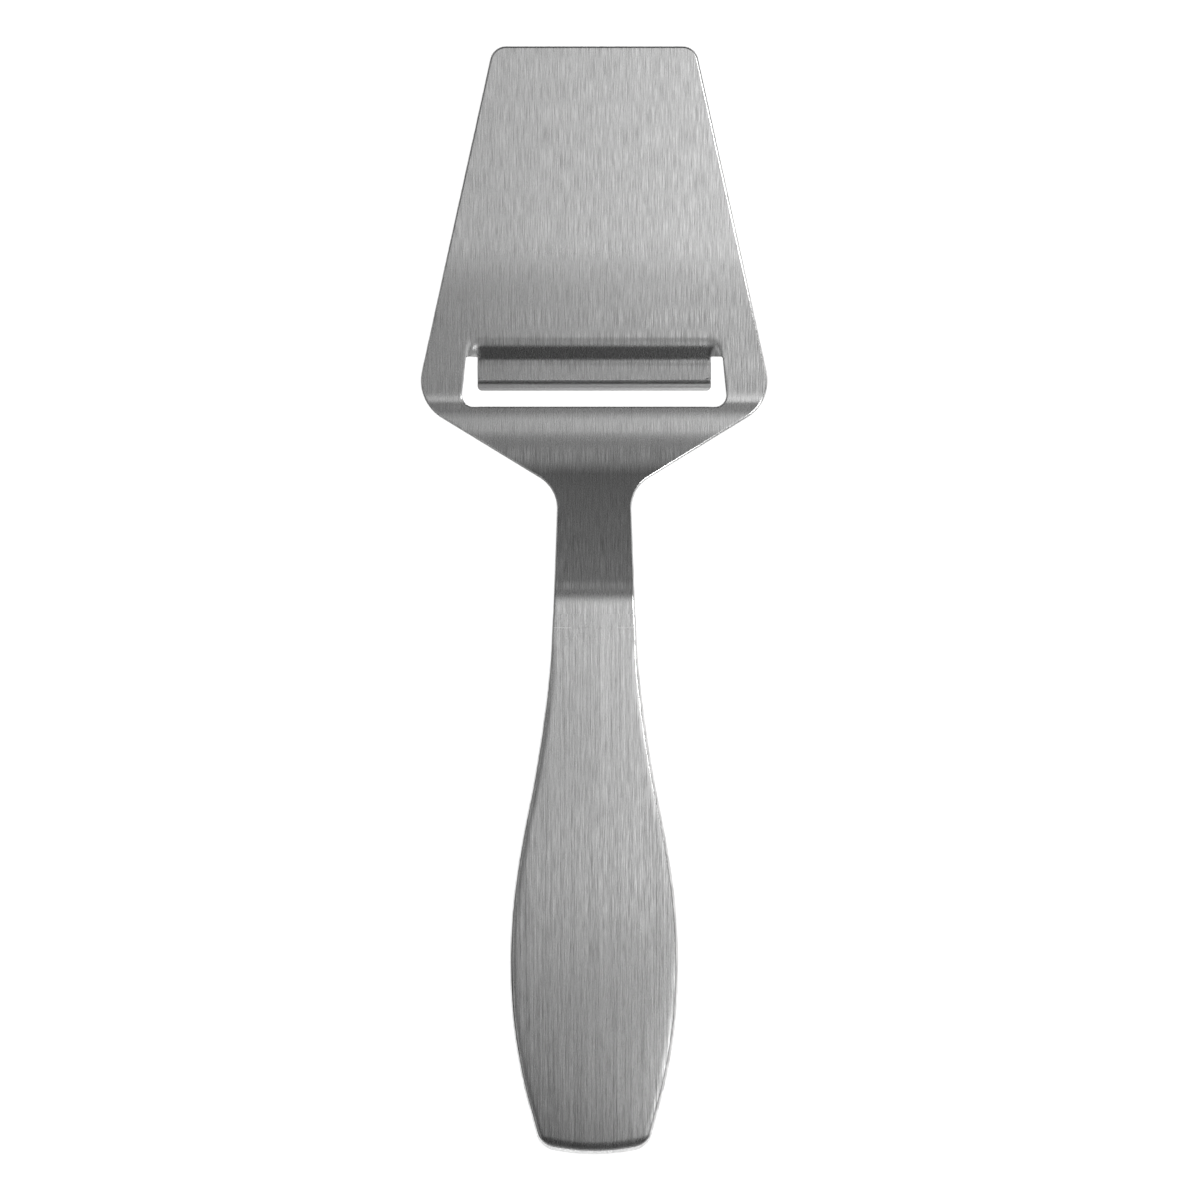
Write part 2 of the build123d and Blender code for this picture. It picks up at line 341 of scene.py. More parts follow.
plateSteel = brushedSteel(plateFinish)
handleSteel = brushedSteel(handleFinish)
groundBevel = brushedSteel(bevelFinish)
plugSteel = brushedSteel(plugFinish)
print("steel made")

# The slicing plate, in millimetres: its outline from above, its bends from the side, its slot and its blade
plate = {
    "tipWidth": 44.8,
    "tipRadius": 3.6,
    "flareAngle": 12.4,
    "shoulderSetback": 0.7,
    "shoulderAngle": 31.4,
    "shoulderRadius": 9.7,
    "neckWidth": 16.3,
    "neckRadius": 8.0,
    "neckEndWidth": 18.2,
    "thickness": 2.0,
    "edgeRadius": 0.55,
    "slotSetback": 1.7,
    "cuttingGap": 3.5,
    "notchLength": 7.4,
    "notchWidth": 2.5,
    "railStart": 9.15,
    "railEnd": 10.5,
    "slotRadius": 2.4,
    "notchRadius": 0.4,
    "slotEdgeRadius": 0.4,
    "bladeCorner": 1.1,
    "bladeEdge": 0.2,  # how thick the cutting edge is
    "bevel": 2.5,
    "bevelStep": 0.05,  # the lip breaks off in a small step, and the bevel is hollow from there to the edge
    "bevelTilt": 40.0,
    "bladeSide": 0.12,  # how far the tongue's sides are rounded, and its cutting edge
    "cuttingEdge": 0.04,
    "sideFade": 2.0,  # the notches' rounding turns to the tongue's over this length
    "rootInner": 24.7,  # between these the tongue's bend fades out into the rails
    "rootOuter": 28.7,
    "roundingShare": 0.45,  # of the sheet's thickness, at most
}
# Stretches of the sheet from the tip back: length, the angle it rises at towards the handle, and the radius
# of the bend that ends it
sheetRun = [
    (5.0, 3.0, 80.0),
    (46.5, 0.0, 143.0),
    (26.4, -8.0, 9.0),
    (2.9, 12.0, 22.0),
    (8.7, 6.0, 40.0),
    (32.0, 20.0, 20.0),
    (4.0, 0.0, 0.0),
]
# The blade leaves the sheet on its third stretch: its drop, then its lip
bladeRun = {"drop": (4.2, -28.0), "bendRadius": 8.0, "lip": (6.4, -10.0), "lipRadius": 6.0}
overrun = {"tip": 1.0, "root": 20.0, "end": 5.0}  # how far the bent lines run on past their outer corners
# How finely the meshes are cut: millimetres along an edge and degrees in its turns, rings in a rounding, and
# the spacing of the sheet's own points, which keep clear of its rims
meshStep = {
    "edge": 0.5,
    "arc": 9.0,
    "round": 5,
    "wide": 1.2,
    "fine": 0.35,
    "root": 0.4,
    "clear": 0.3,
    "lineClear": 0.15,
    "bevelEnds": (0.8, 0.7),  # how far the bevel's lines of points keep from its left and right ends
    "mouth": 13,  # points across the mouth
    "least": 1e-5,  # a triangle with less than this, as twice its area, is left out
}
tiny = 1e-4  # two places nearer than this are the same
hair = 1e-6  # less than any real distance
guard = 1.0  # the surfaces beside the slot run on this far into it
bevelSlack = 0.01  # and the bevel's this far past the tongue's sides


def tangent(degrees):
    return math.tan(math.radians(degrees))


tipY = cadBox[1].y / mm
levelY = tipY - sheetRun[0][0]
dipY = levelY - sheetRun[1][0]
creaseY = dipY - sheetRun[2][0]
yokeY = creaseY - sheetRun[3][0]
neckBendY = yokeY - sheetRun[4][0]
crestY = neckBendY - sheetRun[5][0]
mouthY = crestY - sheetRun[6][0]
slotEndY = creaseY - plate["slotSetback"]
edgeY = slotEndY + plate["cuttingGap"]
slotStartY = edgeY + plate["notchLength"]
lipY = edgeY + bladeRun["lip"][0]
bladeBendY = lipY + bladeRun["drop"][0]


def flaredHalf(y):
    return plate["tipWidth"] / 2 + (tipY - y) * tangent(plate["flareAngle"])


shoulderY = creaseY - plate["shoulderSetback"]
shoulderHalf = flaredHalf(shoulderY)
neckY = shoulderY - (shoulderHalf - plate["neckWidth"] / 2) * tangent(plate["shoulderAngle"])
slotStartHalf = flaredHalf(slotStartY) - plate["railStart"]
slotEndHalf = flaredHalf(slotEndY) - plate["railEnd"]
bladeHalf = slotStartHalf - plate["notchWidth"]

# The handle's arch, form and edges, and the tang under it, in millimetres
handle = {
    "wall": 0.8,
    "archDrop": 11.648,
    "archLength": 121.89,
    "archPower": 2.4,
    "width": 37.2,
    "thickness": 8.0,
    "crown": 0.3,
    "mouthWeld": 3.0,
    "seam": 0.8,
    "mouthEdge": 0.55,
    "sideEdge": 0.8,
    "endEdge": 1.5,
    "sideWidth": 1.7,
    "sideFall": 0.14,
    "endWidth": 3.0,
    "endFall": 0.45,
    "endRadius": 46.0,
    "endCorner": 5.0,
    "edgeGrown": 2,  # the station at which the mouth's edge has become the sides' edge
    "fallGrown": 3,  # and the one at which their fall has come up
    "innerEdge": 0.02,  # the least rounding of the shells' inner faces
}
# How finely the handle's rim is cut: points tried along a side, which stops short of the end, and points kept
# there, steps round each corner of the end, and points across the end. The rows between the rims bend towards
# the bowed end by the power of bow.
handleStep = {"tried": 400, "short": 1.0, "side": 91, "corner": 10, "end": 23, "bow": 3}
# Stations of the handle: how far each lies from the mouth to the end, how far its width and thickness have
# grown from the neck's to the handle's own, and its share of the crown
handleStations = [
    (0.0, 0.0, 0.0, 0.03),
    (0.0251, 0.02, 0.1333, 0.03),
    (0.09, 0.07, 0.36, 0.06),
    (0.195, 0.221, 0.587, 0.1),
    (0.31, 0.451, 0.76, 0.15),
    (0.42, 0.722, 0.88, 0.25),
    (0.53, 0.926, 0.96, 0.4),
    (0.648, 1.0, 1.0, 0.6),
    (0.753, 0.933, 1.0, 0.8),
    (0.862, 0.713, 0.947, 1.0),
    (0.952, 0.421, 0.84, 1.0),
    (1.02, 0.19, 0.68, 1.0),
]
tang = {"width": 10.0, "length": 46.0, "inSheet": 0.5, "steps": 24}

# Heights of the top face at the bends, from the blade's edge on the table
edgeZ = plate["thickness"] / math.cos(math.radians(bladeRun["lip"][1]))
lipZ = edgeZ - bladeRun["lip"][0] * tangent(bladeRun["lip"][1])
bladeBendZ = lipZ - bladeRun["drop"][0] * tangent(bladeRun["drop"][1])
plateZ = bladeBendZ - (dipY - bladeBendY) * tangent(sheetRun[2][1])


# The height of a bent line at the places y, with its corners rounded: corners run from high y to low y
def bentHeight(corners, radii, y):
    ys = np.array([c[0] for c in corners])
    zs = np.array([c[1] for c in corners])
    height = np.interp(y, ys[::-1], zs[::-1])
    for i, radius in radii.items():
        before = math.atan2(zs[i] - zs[i - 1], ys[i - 1] - ys[i])
        after = math.atan2(zs[i + 1] - zs[i], ys[i] - ys[i + 1])
        reach = radius * abs(math.tan((after - before) / 2))
        startY = ys[i] + reach * math.cos(before)
        startZ = zs[i] - reach * math.sin(before)
        endY = ys[i] - reach * math.cos(after)
        side = math.copysign(1.0, after - before)
        centreY = startY + radius * side * math.sin(before)
        centreZ = startZ + radius * side * math.cos(before)
        inArc = (y < startY) & (y > endY)
        arc = centreZ - side * np.sqrt(np.maximum(radius**2 - (y - centreY) ** 2, 0.0))
        height = np.where(inArc, arc, height)
    return height


def sheetCorners():
    firstRun = sheetRun[0][0] + overrun["tip"]
    corners = [(tipY + overrun["tip"], plateZ - firstRun * tangent(sheetRun[0][1]))]
    y, z = levelY, plateZ
    corners.append((y, z))
    for length, angle, _ in sheetRun[1:]:
        y -= length
        z += length * tangent(angle)
        corners.append((y, z))
    corners.append((y - overrun["end"], z))
    return corners


railCorners = sheetCorners()
railRadii = {i + 1: run[2] for i, run in enumerate(sheetRun[:-1])}
bladeCorners = [
    (dipY + overrun["root"], plateZ),
    (dipY, plateZ),
    (bladeBendY, bladeBendZ),
    (lipY, lipZ),
    (edgeY - overrun["end"], edgeZ + overrun["end"] * tangent(bladeRun["lip"][1])),
]
bladeRadii = {1: sheetRun[1][2], 2: bladeRun["bendRadius"], 3: bladeRun["lipRadius"]}
crestZ = railCorners[-2][1]
bevelTopY = edgeY + plate["bevel"] - plate["bevelStep"]
bevelRadius = (bevelTopY - edgeY) / math.sin(math.radians(plate["bevelTilt"]))
# the mouth weld lies at the crest, where its grain meets the neck's and the handle's
weldSteel = brushedSteel(weldFinish, crestZ)


def handleTop(y):
    along = np.clip((mouthY - y) / handle["archLength"], 0.0, 1.0)
    return crestZ - handle["archDrop"] * along ** handle["archPower"]


# An even step from 0 to 1, without corners
def smooth(t):
    t = np.clip(t, 0.0, 1.0)
    return t * t * t * (t * (t * 6 - 15) + 10)


# How far the sheet at x, y has followed the blade's bend: all the way on the tongue, not at all on the rails
def bladeShare(x, y):
    side = np.abs(x)
    below = np.maximum(slotStartY - y, 0.0)
    onTongue = side < (bladeHalf + slotStartHalf) / 2
    shift = np.where(onTongue, below, -below)
    share = smooth((plate["rootOuter"] + shift - side) / (plate["rootOuter"] - plate["rootInner"]))
    return np.where(y > slotEndY + guard, share, 0.0)


def sheetHeight(x, y):
    rail = bentHeight(railCorners, railRadii, y)
    blade = bentHeight(bladeCorners, bladeRadii, np.maximum(y, edgeY - guard))
    return rail + bladeShare(x, y) * (blade - rail)


def onBevel(x, y):
    across = np.abs(x) < bladeHalf + bevelSlack
    return across & (y < edgeY + plate["bevel"] - hair) & (y > edgeY - guard)


def bevelHeight(y):
    reach = np.clip(y - edgeY, 0.0, bevelTopY - edgeY)
    hollow = plate["bladeEdge"] + bevelRadius - np.sqrt(bevelRadius**2 - reach**2)
    return hollow + np.clip((y - bevelTopY) / plate["bevelStep"], 0.0, 1.0) * plate["thickness"]


def topHeight(x, y):
    height = sheetHeight(x, y)
    return np.where(onBevel(x, y), np.minimum(height, bevelHeight(y)), height)


def slopes(height, x, y, d=0.02):
    return (height(x + d, y) - height(x - d, y)) / (2 * d), (height(x, y + d) - height(x, y - d)) / (2 * d)


def faceNormals(height, x, y):
    dx, dy = slopes(height, x, y)
    length = np.sqrt(dx * dx + dy * dy + 1.0)
    return np.stack([-dx / length, -dy / length, 1.0 / length], axis=1)


def underHeight(x, y):
    dx, dy = slopes(sheetHeight, x, y)
    return sheetHeight(x, y) - plate["thickness"] * np.sqrt(1.0 + dx * dx + dy * dy)


# Outward normals at the points of a path that has the material on its left
def pathNormals(points, closed):
    if closed:
        ahead, behind = np.roll(points, -1, axis=0), np.roll(points, 1, axis=0)
    else:
        ahead = np.vstack([points[1:], points[-1:]])
        behind = np.vstack([points[:1], points[:-1]])
    first = points - behind
    second = ahead - points
    first /= np.maximum(np.linalg.norm(first, axis=1), 1e-9)[:, None]
    second /= np.maximum(np.linalg.norm(second, axis=1), 1e-9)[:, None]
    way = first + second
    way /= np.linalg.norm(way, axis=1)[:, None]
    return np.stack([way[:, 1], -way[:, 0]], axis=1)


# A path through corners with rounded turns, as points and their outward normals; the material is on the left
def roundedPath(corners, radii, closed):
    count = len(corners)
    pieces = []
    for i, corner in enumerate(corners):
        here = Vector(corner)
        if radii[i] == 0.0 or (not closed and i in (0, count - 1)):
            pieces.append([here])
            continue
        back = (Vector(corners[i - 1]) - here).normalized()
        onward = (Vector(corners[(i + 1) % count]) - here).normalized()
        turn = back.angle(onward)
        reach = radii[i] / math.tan(turn / 2)
        centre = here + (back + onward).normalized() * (radii[i] / math.sin(turn / 2))
        start, end = here + back * reach - centre, here + onward * reach - centre
        sweep = start.angle_signed(end)
        byAngle = math.degrees(abs(sweep)) / meshStep["arc"]
        byLength = abs(sweep) * radii[i] / meshStep["edge"]
        steps = max(3, math.ceil(byAngle), math.ceil(byLength))
        arc = []
        for k in range(steps + 1):
            a = -sweep * k / steps
            x = start.x * math.cos(a) - start.y * math.sin(a)
            y = start.x * math.sin(a) + start.y * math.cos(a)
            arc.append(centre + Vector((x, y)))
        pieces.append(arc)
    path = []
    for i, piece in enumerate(pieces):
        path.extend(piece)
        if closed or i < count - 1:
            far = pieces[(i + 1) % count][0]
            run = far - piece[-1]
            steps = max(1, math.ceil(run.length / meshStep["edge"]))
            path.extend(piece[-1] + run * (k / steps) for k in range(1, steps))
    points = np.array([(p.x, p.y) for p in path])
    return points, pathNormals(points, closed)


# Which of the points lie inside a closed loop
def inside(points, loop):
    hit = np.zeros(len(points), bool)
    for (ax, ay), (bx, by) in zip(loop, np.roll(loop, -1, axis=0)):
        if ay == by:
            continue
        crosses = (ay > points[:, 1]) != (by > points[:, 1])
        hit ^= crosses & (points[:, 0] < (bx - ax) * (points[:, 1] - ay) / (by - ay) + ax)
    return hit


def outlinePath():
    half = [
        (plate["neckEndWidth"] / 2, mouthY),
        (plate["neckWidth"] / 2, neckY),
        (shoulderHalf, shoulderY),
        (plate["tipWidth"] / 2, tipY),
    ]
    radii = [0.0, plate["neckRadius"], plate["shoulderRadius"], plate["tipRadius"]]
    return roundedPath(half + [(-x, y) for x, y in half[::-1]], radii + radii[::-1], False)


def slotPath():
    half = [
        (bladeHalf, edgeY),
        (bladeHalf, bevelTopY),
        (bladeHalf, edgeY + plate["bevel"]),
        (bladeHalf, slotStartY),
        (slotStartHalf, slotStartY),
        (slotEndHalf, slotEndY),
    ]
    radii = [plate["bladeCorner"], 0.0, 0.0, plate["notchRadius"], plate["notchRadius"], plate["slotRadius"]]
    return roundedPath([(-x, y) for x, y in half[::-1]] + half, radii[::-1] + radii, True)


# The rounding of the edge at each point of the slot's rim: finer on the blade, finest on its cutting edge
def slotRounding(points):
    x, y = np.abs(points[:, 0]), points[:, 1]
    onTongue = x < (bladeHalf + slotStartHalf) / 2
    down = smooth((slotStartY - y) / plate["sideFade"])
    side = plate["slotEdgeRadius"] + (plate["bladeSide"] - plate["slotEdgeRadius"]) * down
    atEdge = smooth((edgeY + plate["bladeCorner"] - y) / plate["bladeCorner"])
    side = side + (plate["cuttingEdge"] - side) * atEdge
    return np.where(onTongue & (y > edgeY - guard), side, plate["slotEdgeRadius"])


# The sheet's own points lie closer at its sharp bends and at the tongue's root
fineRows = [(creaseY - 4.5, creaseY + 1.5), (edgeY - 0.5, bladeBendY + 2.5), (crestY - 4.0, crestY + 4.0)]
rootRows = (edgeY + 2.0, bladeBendY + 3.0)
rootColumns = (plate["rootInner"] - 1.0, plate["rootOuter"] + 1.0)


def gridPoints(rimTree, rims):
    rows = []
    y = mouthY + meshStep["wide"]
    while y < tipY:
        rows.append(y)
        fine = any(low < y < high for low, high in fineRows)
        y += meshStep["fine"] if fine else meshStep["wide"]
    rows = [y for y in rows if abs(y - bevelTopY) > meshStep["lineClear"]]
    reach = math.ceil(shoulderHalf)
    wideXs = np.arange(-reach, reach + tiny, meshStep["wide"])
    rootXs = np.arange(*rootColumns, meshStep["root"])
    innerX, outerX = rootColumns[0] - meshStep["root"] / 2, rootColumns[1]
    points = []
    for y in rows:
        atRoot = rootRows[0] < y < rootRows[1]
        points += [(x, y) for x in wideXs if not (atRoot and innerX < abs(x) < outerX)]
    for y in rows:
        if rootRows[0] < y < rootRows[1]:
            points += [(side * x, y) for x in rootXs for side in (-1.0, 1.0)]
    kept = np.array([p for p in points if rimTree.find((*p, 0.0))[2] > meshStep["clear"]])
    return kept[inside(kept, rims[0]) & ~inside(kept, rims[1])]


# Rounds one rim of the sheet and adds its rings of points, from the top face over the edge to the underside
def addRim(add, points, out, radius):
    thickness = topHeight(points[:, 0], points[:, 1]) - underHeight(points[:, 0], points[:, 1])
    radius = np.minimum(radius, thickness * plate["roundingShare"])
    level = np.column_stack([out, np.zeros(len(out))])
    steps = meshStep["round"]
    rings = []
    for height, sign in ((topHeight, 1.0), (underHeight, -1.0)):
        for k in range(steps + 1):
            angle = math.pi / 2 * (1 - k / steps if sign > 0 else k / steps)
            place = points - out * (radius * (1 - math.cos(angle)))[:, None]
            z = height(place[:, 0], place[:, 1]) - sign * radius * (1 - math.sin(angle))
            surface = faceNormals(topHeight if sign > 0 else sheetHeight, place[:, 0], place[:, 1]) * sign
            normal = level * math.cos(angle) + surface * math.sin(angle)
            normal /= np.linalg.norm(normal, axis=1)[:, None]
            rings.append(add(np.column_stack([place, z]), normal, math.sin(2 * angle)))
    return rings


# The triangles between the outer rim and the slot's, seen from above: their points, then their corners and
# middles, and then which of the rims' points a point is
def flatTriangles(rims):
    tree = kdtree.KDTree(sum(len(rim) for rim in rims))
    for i, p in enumerate(np.vstack(rims)):
        tree.insert((*p, 0.0), i)
    tree.balance()
    mouthHalf = rims[0][0][0]
    mouthXs = np.linspace(mouthHalf, -mouthHalf, meshStep["mouth"] + 2)[1:-1]
    mouthLine = np.column_stack([mouthXs, np.full(len(mouthXs), mouthY)])
    firstX, lastX = meshStep["bevelEnds"]
    bevelXs = np.arange(-bladeHalf + firstX, bladeHalf - lastX, meshStep["wide"])
    bevelYs = (edgeY + plate["bevel"], bevelTopY)
    bevelLines = [np.column_stack([bevelXs, np.full(len(bevelXs), y)]) for y in bevelYs]
    flat = np.vstack([*rims, mouthLine, *bevelLines, gridPoints(tree, rims)])
    outer, both = len(rims[0]), len(rims[0]) + len(rims[1])
    used = both + len(mouthLine)
    edges = [(i, i + 1) for i in range(outer - 1)]
    edges += [(i, i + 1 if i + 1 < both else outer) for i in range(outer, both)]
    chain = [outer - 1, *range(used - 1, both - 1, -1), 0]
    edges += zip(chain[:-1], chain[1:])
    for y in bevelYs:
        onLine = [i for i in range(outer, both) if abs(flat[i][1] - y) < tiny]
        ends = sorted((i for i in onLine if abs(flat[i][0]) < bladeHalf), key=lambda i: flat[i][0])
        chain = [ends[0], *range(used, used + len(bevelXs)), ends[-1]]
        edges += zip(chain[:-1], chain[1:])
        used += len(bevelXs)
    coords, _, triangles, sources, _, _ = delaunay_2d_cdt([Vector(p) for p in flat], edges, [], 0, hair)
    coords = np.array([(p.x, p.y) for p in coords])
    corners = coords[np.array([list(t) for t in triangles])]
    middles = corners.mean(axis=1)
    sides = corners[:, 1:] - corners[:, :1]
    doubleArea = np.abs(sides[:, 0, 0] * sides[:, 1, 1] - sides[:, 0, 1] * sides[:, 1, 0])
    keep = inside(middles, rims[0]) & ~inside(middles, rims[1]) & (doubleArea > meshStep["least"])
    rimOf = {k: i for k, found in enumerate(sources) for i in found if i < both}
    kept = [(tuple(t), middle) for t, middle, inIt in zip(triangles, middles, keep) if inIt]
    return coords, kept, rimOf


def makeSlicingPlate():
    verts, normalsUp, rubs, faces, bevelFaces, stepFaces = [], [], [], [], [], []

    def add(xyz, normal, rub=0.0):
        start = len(verts)
        verts.extend(map(tuple, xyz))
        normalsUp.extend(map(tuple, normal))
        rubs.extend([rub] * len(xyz))
        return np.arange(start, start + len(xyz))

    (outer, outerOut), (slot, slotOut) = outlinePath(), slotPath()
    outerOut[0], outerOut[-1] = (1.0, 0.0), (-1.0, 0.0)
    outerRings = addRim(add, outer, outerOut, np.full(len(outer), plate["edgeRadius"]))
    slotRings = addRim(add, slot, slotOut, slotRounding(slot))
    for rings, last in ((outerRings, len(outer) - 1), (slotRings, len(slot))):
        for above, below in zip(rings[:-1], rings[1:]):
            for i in range(last):
                j = (i + 1) % len(above)
                faces.append((above[i], below[i], below[j], above[j]))

    # the sheet's two faces, between the rims
    rims = [np.array([verts[i][:2] for i in rings[0]]) for rings in (outerRings, slotRings)]
    coords, triangles, rimOf = flatTriangles(rims)
    fresh = np.array([k for k in range(len(coords)) if k not in rimOf])
    mouthLines = []
    for level, height, sign in ((0, topHeight, 1.0), (-1, underHeight, -1.0)):
        z = height(coords[:, 0], coords[:, 1])
        normal = faceNormals(sheetHeight, coords[:, 0], coords[:, 1]) * sign
        index = np.zeros(len(coords), int)
        index[fresh] = add(np.column_stack([coords[fresh], z[fresh]]), normal[fresh])
        rimPoints = np.concatenate([outerRings[level], slotRings[level]])
        for k, i in rimOf.items():
            index[k] = rimPoints[i]
        for corners, middle in triangles:
            face = tuple(index[v] for v in corners)
            if sign > 0 and onBevel(*middle):
                (stepFaces if middle[1] > bevelTopY else bevelFaces).append(len(faces))
            faces.append(face if sign > 0 else face[::-1])
        mouthLines.append([index[k] for k in mouthOrder(coords, rims[0][0][0])])
    topLine, underLine = mouthLines
    left, right = [r[-1] for r in outerRings[1:-1]], [r[0] for r in outerRings[1:-1]]
    before = len(faces)
    faces.append((*topLine, *left, *underLine[::-1], *right[::-1]))
    addTang(add, faces)
    return verts, normalsUp, rubs, faces, bevelFaces, {*stepFaces, *range(before, len(faces))}


# The tang, a narrow strip of the sheet that runs on inside the handle under its upper shell
def addTang(add, faces):
    half = tang["width"] / 2
    steps = tang["steps"]
    ys = np.linspace(mouthY + tang["inSheet"], mouthY - tang["length"], steps + 1)
    top = handleTop(ys) - handle["wall"]
    base = handleTop(ys) - plate["thickness"]
    up = np.tile((0.0, 0.0, 1.0), (len(ys), 1))
    lines = [
        add(np.column_stack([np.full(len(ys), x), ys, z]), up)
        for x, z in ((-half, top), (half, top), (half, base), (-half, base))
    ]
    for a, b in zip(lines, lines[1:] + lines[:1]):
        faces.extend((a[i], a[i + 1], b[i + 1], b[i]) for i in range(steps))
    faces.append(tuple(line[0] for line in lines))
    faces.append(tuple(line[steps] for line in lines[::-1]))


# The points on the mouth's line, from right to left
def mouthOrder(coords, mouthHalf):
    found = [k for k, (x, y) in enumerate(coords) if abs(y - mouthY) < tiny and abs(x) < mouthHalf + tiny]
    return sorted(found, key=lambda k: -coords[k][0])


def meshObject(name, verts, faces, materials):
    mesh = bpy.data.meshes.new(name)
    places = [(x * mm, y * mm, z * mm) for x, y, z in verts]
    mesh.from_pydata(places, [], [[int(i) for i in face] for face in faces])
    for material in materials:
        mesh.materials.append(material)
    piece = bpy.data.objects.new(name, mesh)
    bpy.context.scene.collection.objects.link(piece)
    return piece


# What the steel reads off a piece: how rubbed each point is, and its place for the grain, in which heights
# count from the line that the surface follows
def setMarks(piece, verts, rubs, line):
    attribute = piece.data.attributes.new("rub", "FLOAT", "POINT")
    attribute.data.foreach_set("value", rubs)
    places = np.array(verts)
    places[:, 2] -= line(places[:, 0], places[:, 1])
    attribute = piece.data.attributes.new("grainPlace", "FLOAT_VECTOR", "POINT")
    attribute.data.foreach_set("vector", (places * mm).ravel())


# Every corner gets its point's own normal, or its face's where the face is flat, or on the faces of another
# surface that surface's normal
def setNormals(piece, normals, flatFaces, otherFaces=(), otherNormals=()):
    mesh = piece.data
    mesh.shade_smooth()
    flatFaces, otherFaces = set(flatFaces), set(otherFaces)
    loopNormals = []
    for polygon in mesh.polygons:
        if polygon.index in flatFaces:
            loopNormals.extend([tuple(polygon.normal)] * len(polygon.vertices))
        else:
            source = otherNormals if polygon.index in otherFaces else normals
            loopNormals.extend(tuple(source[v]) for v in polygon.vertices)
    mesh.normals_split_custom_set(loopNormals)


verts, normals, rubs, faces, bevelFaces, flatFaces = makeSlicingPlate()
platePiece = meshObject("slicingPlateSheet", verts, faces, [plateSteel, groundBevel])
setMarks(platePiece, verts, rubs, sheetHeight)
for i in bevelFaces:
    platePiece.data.polygons[i].material_index = 1
xs, ys = np.array(verts)[:, :2].T
inset = 0.03  # the slopes at the bevel's two ends are taken from just inside them
bevelNormals = faceNormals(lambda x, y: bevelHeight(y), xs, np.clip(ys, edgeY + inset, bevelTopY - inset))
setNormals(platePiece, normals, flatFaces, bevelFaces, bevelNormals)
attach(platePiece, "root")
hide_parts("slicing_plate")
print("slicing plate made:", len(verts), "points")

# The handle, with finer edges than its solids have: two shells and the seam between them
endY = cadBox[0].y / mm
shellY = mouthY - handle["mouthWeld"]
stationYs = np.array([mouthY - station[0] * (mouthY - endY) for station in handleStations])
edgeGrownY, fallGrownY = stationYs[handle["edgeGrown"]], stationYs[handle["fallGrown"]]


# A smooth line through the stations' values, with the slope at each one taken from its neighbours
def alongHandle(column, low, high, y):
    knots = -stationYs
    values = low + (high - low) * np.array([station[column] for station in handleStations])
    slope = np.gradient(values, knots)
    i = np.clip(np.searchsorted(knots, -y) - 1, 0, len(knots) - 2)
    step = knots[i + 1] - knots[i]
    t = (-y - knots[i]) / step
    fromHere = values[i] * (1 + 2 * t) + slope[i] * step * t
    fromNext = values[i + 1] * (3 - 2 * t) - slope[i + 1] * step * (1 - t)
    return (1 - t) ** 2 * fromHere + t**2 * fromNext


def handleHalf(y):
    return alongHandle(1, plate["neckEndWidth"], handle["width"], y) / 2


def handleThickness(y):
    return alongHandle(2, plate["thickness"], handle["thickness"], y)


def crownDrop(x, y):
    return alongHandle(3, 0.0, handle["crown"], y) * np.clip(x / handleHalf(y), -1.0, 1.0) ** 2


# The crown falls away a little faster near the handle's sides and near its end, but not at its mouth
def edgeFall(x, y):
    sideNear = np.clip(1.0 - (handleHalf(y) - np.abs(x)) / handle["sideWidth"], 0.0, 1.0)
    bow = handle["endRadius"]
    bowed = endY + bow - np.sqrt(bow**2 - x**2)
    endNear = np.clip(1.0 - (y - bowed) / handle["endWidth"], 0.0, 1.0)
    grown = smooth((shellY - y) / (shellY - fallGrownY))
    return grown * handle["sideFall"] * sideNear**2 + handle["endFall"] * endNear**2


def handleUpper(x, y):
    return handleTop(y) - crownDrop(x, y) - edgeFall(x, y)


def handleLower(x, y):
    return handleTop(y) - handleThickness(y) + crownDrop(x, y) + edgeFall(x, y)


def seamMiddle(y):
    return handleTop(y) - handleThickness(y) / 2


# The handle from above: down its left side, round its bowed end with rounded corners, and up its right side
def handlePath():
    ys = np.linspace(shellY, endY + handleStep["short"], handleStep["tried"])
    side = np.column_stack([-handleHalf(ys), ys])
    radius, bow = handle["endCorner"], handle["endRadius"]
    bowCentre = np.array([0.0, endY + bow])
    centres = side - pathNormals(side, False) * radius
    # the corner starts where its circle, rolled down inside the side, first touches the bow
    reached = (np.linalg.norm(centres - bowCentre, axis=1) > bow - radius) & (centres[:, 1] < bowCentre[1])
    first = int(np.argmax(reached))
    centre = centres[first]
    start, stop = (math.atan2(way[1], way[0]) for way in (side[first] - centre, centre - bowCentre))
    count = handleStep["corner"]
    turns = start + (stop - start) % (2 * math.pi) * np.arange(1, count + 1) / count
    corner = centre + radius * np.column_stack([np.cos(turns), np.sin(turns)])
    halfEnd = -corner[-1][0]
    xs = np.linspace(-halfEnd, halfEnd, handleStep["end"])[1:-1]
    bowed = np.column_stack([xs, bowCentre[1] - np.sqrt(bow**2 - xs**2)])
    kept = np.linspace(0, first, handleStep["side"]).round().astype(int)
    # one half of the corner's steps count as its side and the other half as the end
    down, turning = np.vstack([side[kept], corner[: count // 2]]), corner[count // 2 :]
    mirror = (-1, 1)
    points = np.vstack([down, turning, bowed, turning[::-1] * mirror, down[::-1] * mirror])
    return points, pathNormals(points, False), len(down) - 1


# One face of the handle between its rims, as a grid whose rows bend from the straight mouth to the bowed end
def patchPlaces(ring, sideCount):
    count = len(ring) - 1
    left, right = ring[: sideCount + 1], ring[: count - sideCount - 1 : -1]
    end = ring[sideCount : count - sideCount + 1]
    u = ((end[:, 0] - end[0, 0]) / (end[-1, 0] - end[0, 0]))[None, :, None]
    v = (np.arange(sideCount + 1) / sideCount)[:, None, None] ** handleStep["bow"]
    straight = (1 - u) * left[:, None] + u * right[:, None]
    return straight + v * (end[None] - ((1 - u) * end[0] + u * end[-1]))


